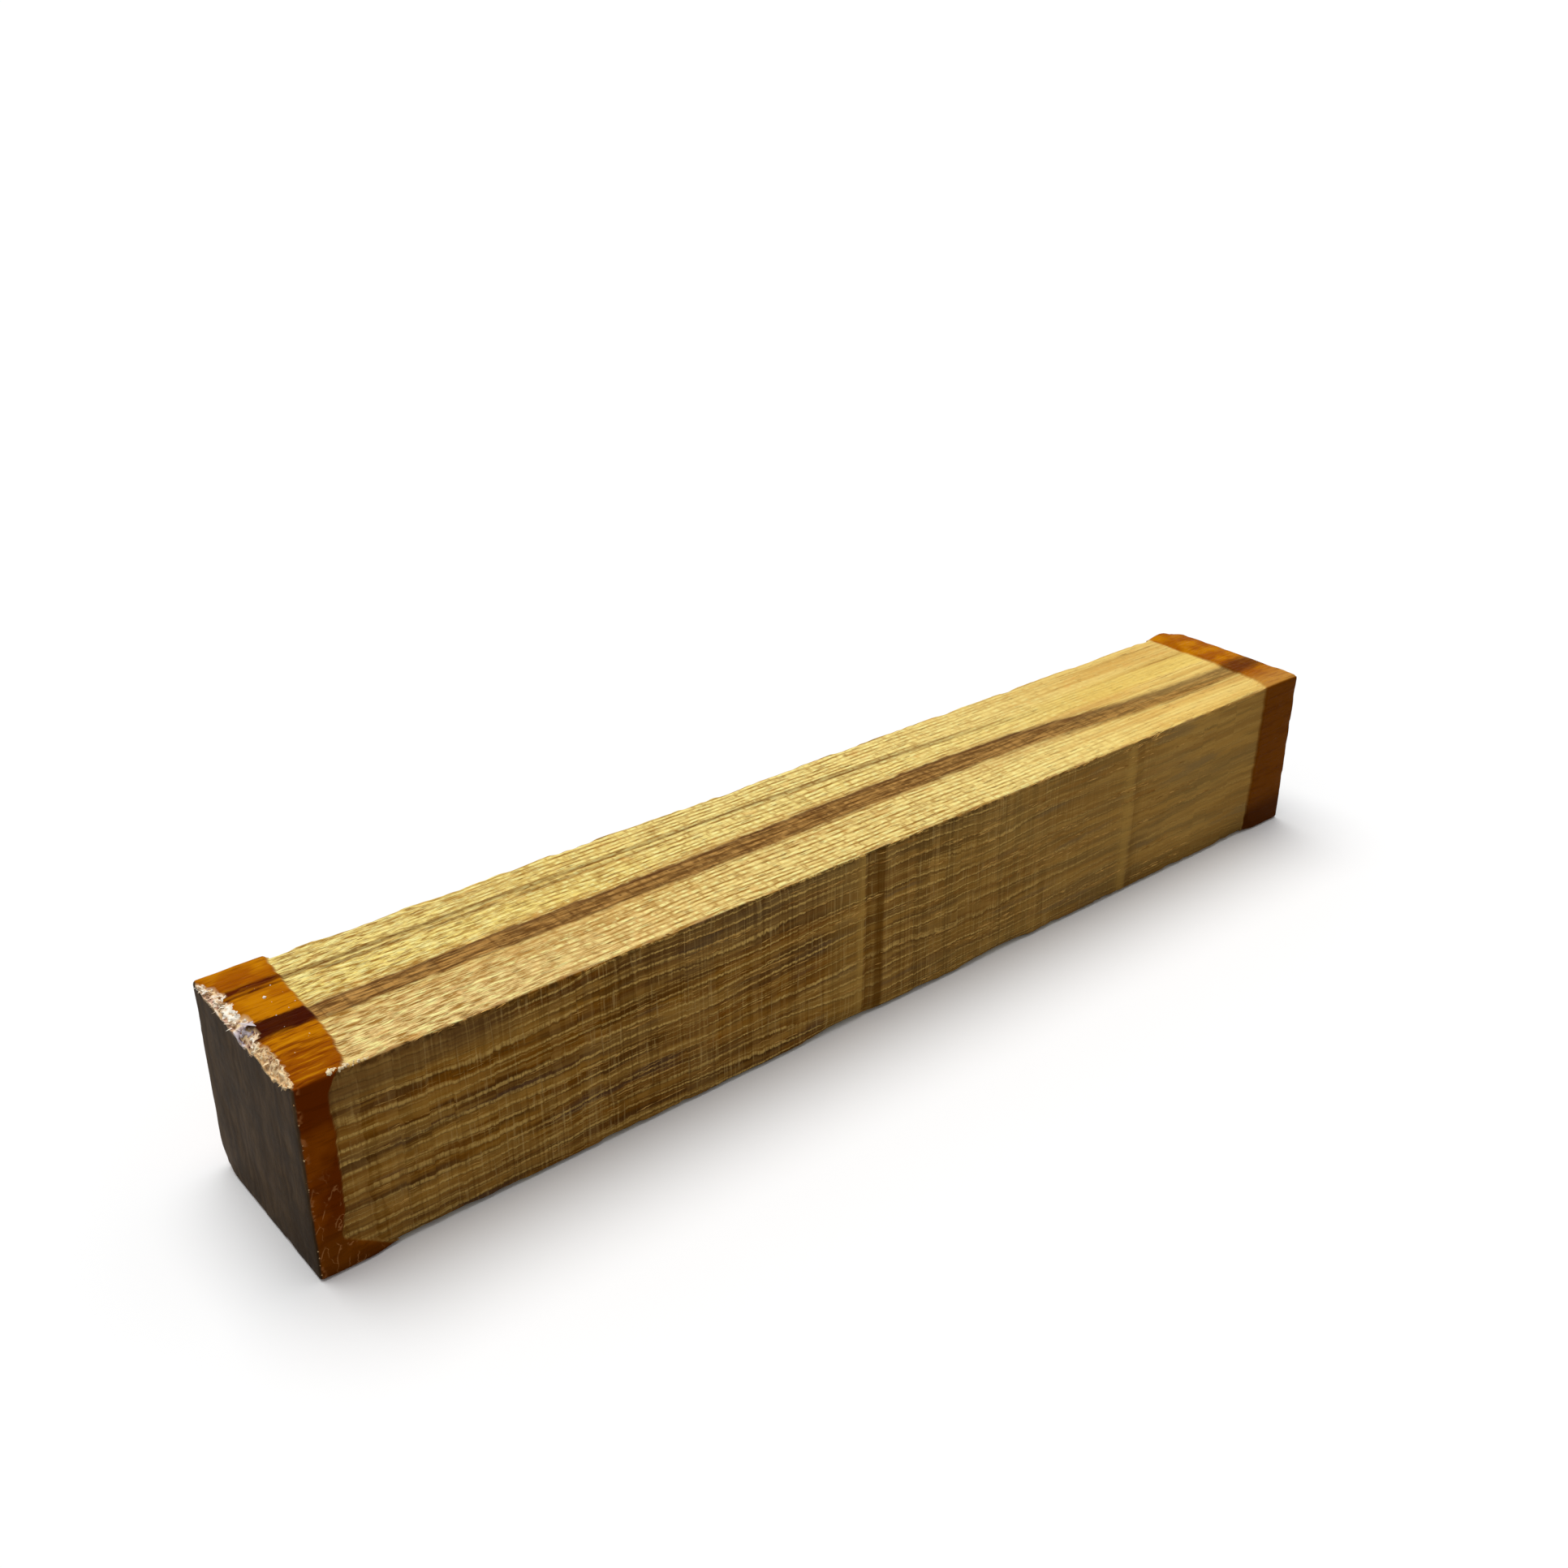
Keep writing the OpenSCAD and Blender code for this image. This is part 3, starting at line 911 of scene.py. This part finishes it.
torn_finish = torn_wood()
crumbled_rings, crumbled_marks = torn_skin(60)
crumbled_poles = crumbled_rings[[0, -1]].mean(1)
crumbled = skin("crumbled_arris", crumbled_rings, crumbled_poles, crumbled_marks)
crumbled.data.materials.append(torn_finish)
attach(crumbled, "root")

# Flakes and splinters of pale wood stand out of the break. Each is four sided, bent and drawn to
# a point, and is still rooted in the broken surface.
flake_count = 150
flake_overhang = 0.6


def tube_faces(count, stations):
    """Faces of this many four-sided tubes, each through its stations, closed at both ends."""
    ring = (np.arange(count) * stations * 4)[:, None, None]
    ring = ring + (np.arange(stations) * 4)[None, :, None] + np.arange(4)
    beside = np.roll(ring, -1, 2)
    quads = np.stack([ring[:, :-1], ring[:, 1:], beside[:, 1:], beside[:, :-1]], -1).reshape(-1, 4)
    return np.concatenate([quads, ring[:, 0], ring[:, -1, ::-1]])


def slivers(name, roots, ways, lengths, widths, bends, tones, flatness):
    """Spikes as one piece: each runs from its root along its way, bends with the square of the
    distance, and narrows with it to almost nothing. Tone is a mark that the finish reads."""
    stations = 5
    run = np.linspace(0, 1, stations)[None, :, None]
    line = roots[:, None] + ways[:, None] * lengths[:, None, None] * run
    line = line + bends[:, None] * lengths[:, None, None] * run ** 2
    side = np.cross(ways, [0.2, 0.3, 1.0])
    side /= np.linalg.norm(side, axis=1, keepdims=True)
    lift = np.cross(side, ways)
    half = widths[:, None, None] / 2 * (1 - run) ** 0.7 + 0.008
    corners = np.stack([line + side[:, None] * half, line + lift[:, None] * half * flatness,
                        line - side[:, None] * half, line - lift[:, None] * half * flatness], 2)
    faces = tube_faces(len(roots), stations).tolist()
    marks = {"tone": np.repeat(tones, stations * 4)}
    return build_piece(name, corners.reshape(-1, 3), faces, marks, smooth=False)


def torn_flakes(count, seed):
    """Flakes at random places of the break, more of them and larger towards the back. Most point
    out of the end along the grain. The first is the broad grey one in the middle."""
    draw = np.random.default_rng(seed)
    y = break_front + 0.2 + (break_back - break_front - 0.4) * draw.uniform(0, 1, count) ** 0.62
    long, _ = chip_size(y)
    x = long * draw.uniform(-0.1, 1.0, count)
    z = broken_height(np.clip(x, 0, long - 0.01), y) - 0.02
    ways = np.column_stack([
        draw.normal(-0.8, 0.5, count), draw.normal(0, 0.6, count), draw.normal(0.2, 0.45, count)])
    ways /= np.linalg.norm(ways, axis=1, keepdims=True)
    lengths = draw.uniform(0.2, 0.6, count)
    widths = 0.06 + 0.4 * draw.uniform(0, 1, count) ** 2.5
    bends = draw.normal(0, 0.25, (count, 3))
    room = (x + flake_overhang) / np.maximum(-ways[:, 0], 0.05)
    lengths = np.minimum(lengths, np.maximum(room, 0.1))
    tones = draw.uniform(0.3, 1, count)
    large = (y > 6.5) & (draw.uniform(0, 1, count) < 0.4)
    widths = np.where(large, draw.uniform(0.35, 0.75, count), widths)
    tones = np.where(large, draw.uniform(0.6, 1, count), tones)
    roots = np.column_stack([x, y, z])
    roots[0] = [1.35, 9.9, stick_high[2] + 0.02]
    ways[0], bends[0] = [-0.93, 0.2, 0.3], [0, 0, 0.1]
    lengths[0], widths[0], tones[0] = 1.5, 1.1, 0.6
    return slivers("torn_flakes", roots + stick_start, ways, lengths, widths, bends, tones, 0.22)


flakes = torn_flakes(flake_count, 61)
flakes.data.materials.append(torn_finish)
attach(flakes, "root")

# Along the front top arris the saw left short splinters. They are rooted in the worn wood and
# lie almost along the arris, most of them in groups.
splinter_groups = np.array([12, 16, 30, 46, 49, 60, 66, 73, 90, 104])
splinter_count = 110


def arris_splinters(count, seed):
    """Splinters at random places of the front top arris, two in three of them in the groups."""
    draw = np.random.default_rng(seed)
    group = splinter_groups[draw.integers(0, len(splinter_groups), count)]
    x = group + draw.normal(0, 2.2, count)
    x = np.where(draw.uniform(0, 1, count) < 0.35, draw.uniform(7, 118, count), x)
    place = draw.uniform(-0.008, 0.014, count) % 4
    points, _ = skin_place(x, place, sunk=0.06)
    ways = np.column_stack([
        draw.choice([-1, 1], count) * draw.uniform(0.7, 1, count), draw.normal(-0.08, 0.08, count),
        draw.normal(0.02, 0.07, count)])
    ways /= np.linalg.norm(ways, axis=1, keepdims=True)
    lengths = draw.uniform(0.4, 1.6, count)
    widths = draw.uniform(0.08, 0.24, count)
    bends = draw.normal(0, 0.06, (count, 3))
    tones = draw.uniform(0.1, 0.6, count)
    roots = np.column_stack([x, points]) + stick_start
    return slivers("arris_splinters", roots, ways, lengths, widths, bends, tones, 0.4)


def raised_fibre():
    """Pale dry fibre, unevenly bleached."""
    finish = Finish("raised_fibre")
    bleached = finish.clouds(finish.x * 0.8, finish.y, finish.z * 2, 3).between(0.35, 0.65)
    return finish.done(finish.laid((158, 110, 48), (bleached, (232, 184, 102))), 0.8, 0)


fibre_finish = raised_fibre()
splinters = arris_splinters(splinter_count, 66)
splinters.data.materials.append(fibre_finish)
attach(splinters, "root")

# Crumbs of wax and wood dust cling to the break, to the edge of the near end and to the front top
# arris where the near wax ends. Each is a small lump with a random outline.
break_crumbs = 46
heap_crumbs = 90
stuck_crumbs = 14
edge_crumbs = 30


def crumbs(name, centres, sizes, tones, seed):
    """Lumps as one piece: each is a ball of five rings, whose radius varies at random from about
    a half to all of its size, flattened a little."""
    draw = np.random.default_rng(seed)
    count, rows, around = len(centres), 5, 8
    polar = np.pi * (np.arange(rows) + 1) / (rows + 1)
    turn = 2 * np.pi * np.arange(around) / around
    ball = np.stack([
        np.sin(polar)[:, None] * np.cos(turn), np.sin(polar)[:, None] * np.sin(turn),
        np.broadcast_to(np.cos(polar)[:, None], (rows, around))], -1)
    radius = sizes[:, None, None] / 2 * draw.uniform(0.55, 1.1, (count, rows, around))
    lump = ball[None] * radius[..., None] * draw.uniform(0.6, 1, (count, 1, 1, 3))
    poles = np.zeros((count, 2, 3))
    poles[:, 0, 2], poles[:, 1, 2] = sizes * 0.35, -sizes * 0.35
    points = np.concatenate([lump.reshape(count, -1, 3), poles], 1) + centres[:, None]
    size = rows * around + 2
    ring = (np.arange(rows) * around)[:, None] + np.arange(around)
    beside = np.roll(ring, -1, 1)
    quads = np.stack([ring[:-1], ring[1:], beside[1:], beside[:-1]], -1).reshape(-1, 4)
    top = np.stack([ring[0], beside[0], np.full(around, size - 2)], -1)
    bottom = np.stack([beside[-1], ring[-1], np.full(around, size - 1)], -1)
    starts = (np.arange(count) * size)[:, None, None]
    faces = (starts + quads).reshape(-1, 4).tolist()
    faces += (starts + top).reshape(-1, 3).tolist() + (starts + bottom).reshape(-1, 3).tolist()
    marks = {"tone": np.repeat(tones, size)}
    return build_piece(name, points.reshape(-1, 3), faces, marks, smooth=True)


def clinging_crumbs(seed):
    """Where the crumbs lie: a few along the break, a heap on the front top arris where the wax
    ends, which thins out along it, single ones stuck in the wax on the top, the first of them a
    large one, and a row along the upright front edge of the end."""
    draw = np.random.default_rng(seed)
    wax_top = stick_high[2] + wax_thickness
    y = draw.uniform(break_front + 0.1, break_back, break_crumbs)
    long, _ = chip_size(y)
    x = long * draw.uniform(-0.1, 1.05, break_crumbs)
    broken = np.column_stack([x, y, broken_height(np.clip(x, 0, long - 0.01), y) + 0.1])
    run = draw.uniform(0, 1, heap_crumbs)
    x = 2.9 + 3.4 * run ** 2.2
    sunk = 0.7 * arris_wear(x, np.zeros(heap_crumbs)) * ease(x - 3.2)
    heap = np.column_stack([
        x, draw.normal(0.06, 0.11, heap_crumbs) + 0.3 * run * (1 - run) + sunk,
        stick_high[2] + 0.06 + draw.normal(0.06, 0.06, heap_crumbs) - sunk])
    stuck = np.column_stack([
        draw.uniform(1.4, 5.2, stuck_crumbs), draw.uniform(1.5, stick_width - 1.5, stuck_crumbs),
        np.full(stuck_crumbs, wax_top - 0.01)])
    stuck[0] = [3.4, 12.8, wax_top + 0.03]
    edge = np.column_stack([
        draw.uniform(-0.22, 0.1, edge_crumbs), draw.uniform(-0.22, -0.12, edge_crumbs),
        stick_low[2] + stick_height * draw.uniform(0.02, 0.95, edge_crumbs)])
    edge[:, 1] += nibbled(near_seed, 3 + (edge[:, 2] - stick_low[2]) / stick_height)
    centres = np.concatenate([broken, heap, stuck, edge]) + stick_start
    sizes = np.concatenate([
        draw.uniform(0.12, 0.45, break_crumbs),
        draw.uniform(0.24, 0.62, heap_crumbs) * (1 - 0.55 * run),
        draw.uniform(0.07, 0.2, stuck_crumbs),
        0.05 + 0.25 * draw.uniform(0, 1, edge_crumbs) ** 2.5])
    sizes[break_crumbs + heap_crumbs] = 0.42
    tones = np.concatenate([
        draw.uniform(0.3, 1, break_crumbs), draw.uniform(0.85, 1, heap_crumbs),
        draw.uniform(0.5, 1, stuck_crumbs), draw.uniform(0, 0.5, edge_crumbs)])
    return crumbs("wax_crumbs", centres, sizes, tones, seed + 1)


dust = clinging_crumbs(71)
dust.data.materials.append(torn_finish)
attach(dust, "root")

# The saw pulled fibres up out of the front and back faces. They lie along the grain as pale
# strands, a tenth of a millimetre or so wide, whose feet are still in the wood.
strand_foot = 0.12
strand_stations = 72

# Where the first strand may start, how far on the last one may, and where all of them stop
strand_first = 3.2
strand_stretch = stick_length - 24
strand_limit = stick_length - 6


def strands(name, side, count, seed):
    """Strands as one piece: each follows a line that climbs slightly, wanders slowly and is
    kinked by every saw tooth. Its width comes and goes at random, and so does its height above
    the wood. It is narrow near the end where the front is smooth."""
    draw = np.random.default_rng(seed)
    run = np.linspace(0, 1, strand_stations)
    long = draw.uniform(4, 13, count)
    start = strand_first + strand_stretch * draw.uniform(0, 1, count) ** 1.2
    x = np.minimum(start[:, None] + long[:, None] * run, strand_limit)
    z = draw.uniform(0.8, stick_height - 0.5, count)[:, None]
    z = z + draw.normal(0, 0.012, count)[:, None] * (x - x[:, :1])
    z = z + 0.14 * lumps(seed + 1, x, z, 9, 5) + 0.06 * lumps(seed + 2, x, z, 0.75, 3)
    z = z + 0.05 * lumps(seed + 4, x, z, 0.3, 3)
    width = draw.uniform(0.07, 0.18, count)[:, None] * ease(4 * run) * ease(4 - 4 * run)
    width = width * (1 - 0.95 * ease((z - 15.2) / 1.5) * ease((24 - x) / 6))
    width = width * (1 - 0.45 * ease((45 - x) / 25))
    width = width * np.clip(0.75 + 0.8 * lumps(seed + 3, x, z, 0.5, 0.3), 0.1, 1.3)
    rise = width * 0.32 - 0.01
    foot = np.full(rise.shape, -strand_foot)
    place = 3 + z / stick_height if side < 0 else 2 - z / stick_height
    base = saw_relief(x, place, np.ones(x.shape + (2,))) - arris_wear(x, place)
    offsets = np.stack([-0.6 * width, -0.25 * width, 0.25 * width, 0.6 * width], -1)
    heights = np.stack([foot, rise, rise, foot], -1) + base[..., None]
    points = np.empty(offsets.shape + (3,))
    points[..., 0] = x[..., None] + stick_low[0]
    points[..., 1] = side * (stick_width / 2 + heights)
    points[..., 2] = np.clip(z[..., None] + offsets, 0.1, stick_height - 0.1) + stick_low[2]
    faces = tube_faces(count, strand_stations)
    if side < 0:
        faces = faces[:, ::-1]
    return build_piece(name, points.reshape(-1, 3), faces.tolist(), {}, smooth=False)


front_strands = strands("front_strands", -1, 230, 81)
back_strands = strands("back_strands", 1, 120, 91)
for piece in (front_strands, back_strands):
    piece.data.materials.append(fibre_finish)
    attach(piece, "root")

# The floor is plain and pale. Seen directly it is white with the stick's shadow on it, and it
# throws less light back up, as a matt studio table does.
floor_reach = 6.0
floor_grey = 0.36


def seen_directly(tree):
    """Share that is 1 for a ray from the camera, off a glossy surface or through a clear one."""
    rays = tree.nodes.new("ShaderNodeLightPath")
    seen = rays.outputs["Is Camera Ray"]
    for ray in ("Is Glossy Ray", "Is Transmission Ray"):
        larger = tree.nodes.new("ShaderNodeMath")
        larger.operation = "MAXIMUM"
        tree.links.new(seen, larger.inputs[0])
        tree.links.new(rays.outputs[ray], larger.inputs[1])
        seen = larger.outputs[0]
    return seen


floor_corners = [(-floor_reach, -floor_reach, 0), (floor_reach, -floor_reach, 0),
                 (floor_reach, floor_reach, 0), (-floor_reach, floor_reach, 0)]
floor_mesh = bpy.data.meshes.new("studio_floor")
floor_mesh.from_pydata(floor_corners, [], [(0, 1, 2, 3)])
floor = bpy.data.objects.new("studio_floor", floor_mesh)
bpy.context.collection.objects.link(floor)
floor_finish = bpy.data.materials.new("studio_floor")
floor_finish.use_nodes = True
floor_tree = floor_finish.node_tree
floor_tree.nodes.clear()
matt = floor_tree.nodes.new("ShaderNodeBsdfDiffuse")
matt.inputs["Color"].default_value = (floor_grey, floor_grey, floor_grey, 1)
white = floor_tree.nodes.new("ShaderNodeBsdfDiffuse")
white.inputs["Color"].default_value = (1, 1, 1, 1)
floor_mix = floor_tree.nodes.new("ShaderNodeMixShader")
floor_out = floor_tree.nodes.new("ShaderNodeOutputMaterial")
floor_tree.links.new(seen_directly(floor_tree), floor_mix.inputs[0])
floor_tree.links.new(matt.outputs[0], floor_mix.inputs[1])
floor_tree.links.new(white.outputs[0], floor_mix.inputs[2])
floor_tree.links.new(floor_mix.outputs[0], floor_out.inputs[0])
floor.data.materials.append(floor_finish)

# One broad soft lamp hangs over the stick, slightly behind it, and the room adds a little light
# from all round. Seen directly, the room is white.
lamp_data = bpy.data.lights.new("broad_lamp", "SUN")
lamp_data.energy = 2.3
lamp_data.angle = math.radians(50)
lamp = bpy.data.objects.new("broad_lamp", lamp_data)
lamp.rotation_euler = (math.radians(-14), 0, 0)
bpy.context.collection.objects.link(lamp)

world = bpy.data.worlds.new("room")
world.use_nodes = True
room = world.node_tree
room.nodes.clear()
room_level = room.nodes.new("ShaderNodeMapRange")
room_level.inputs["To Min"].default_value = 0.32
room_level.inputs["To Max"].default_value = 1.0
room_light = room.nodes.new("ShaderNodeBackground")
room_light.inputs["Color"].default_value = (1, 1, 1, 1)
room_out = room.nodes.new("ShaderNodeOutputWorld")
room.links.new(seen_directly(room), room_level.inputs["Value"])
room.links.new(room_level.outputs[0], room_light.inputs["Strength"])
room.links.new(room_light.outputs[0], room_out.inputs[0])
bpy.context.scene.world = world

# The camera stands where the photographer's did, close to the near end and above it. It is tilted
# up from straight down, leans a little and is turned towards the far end, in degrees.
camera_place = [-102.336, -112.816, 97.563]
camera_tilt = 63.38678
camera_lean = -0.37157
camera_turn = -39.70810
focal_pixels = 2048.4
picture_pixels = 1932
camera_data = bpy.data.cameras.new("camera")
camera_data.sensor_width = 36
camera_data.lens = focal_pixels / picture_pixels * camera_data.sensor_width
camera_data.clip_start = 0.005
camera = bpy.data.objects.new("camera", camera_data)
turned = Euler(np.radians([camera_tilt, camera_lean, camera_turn])).to_matrix().to_4x4()
camera.matrix_world = Matrix.Translation(np.array(camera_place) * MM) @ turned
bpy.context.collection.objects.link(camera)
bpy.context.scene.camera = camera

bpy.context.scene.view_settings.view_transform = "Standard"
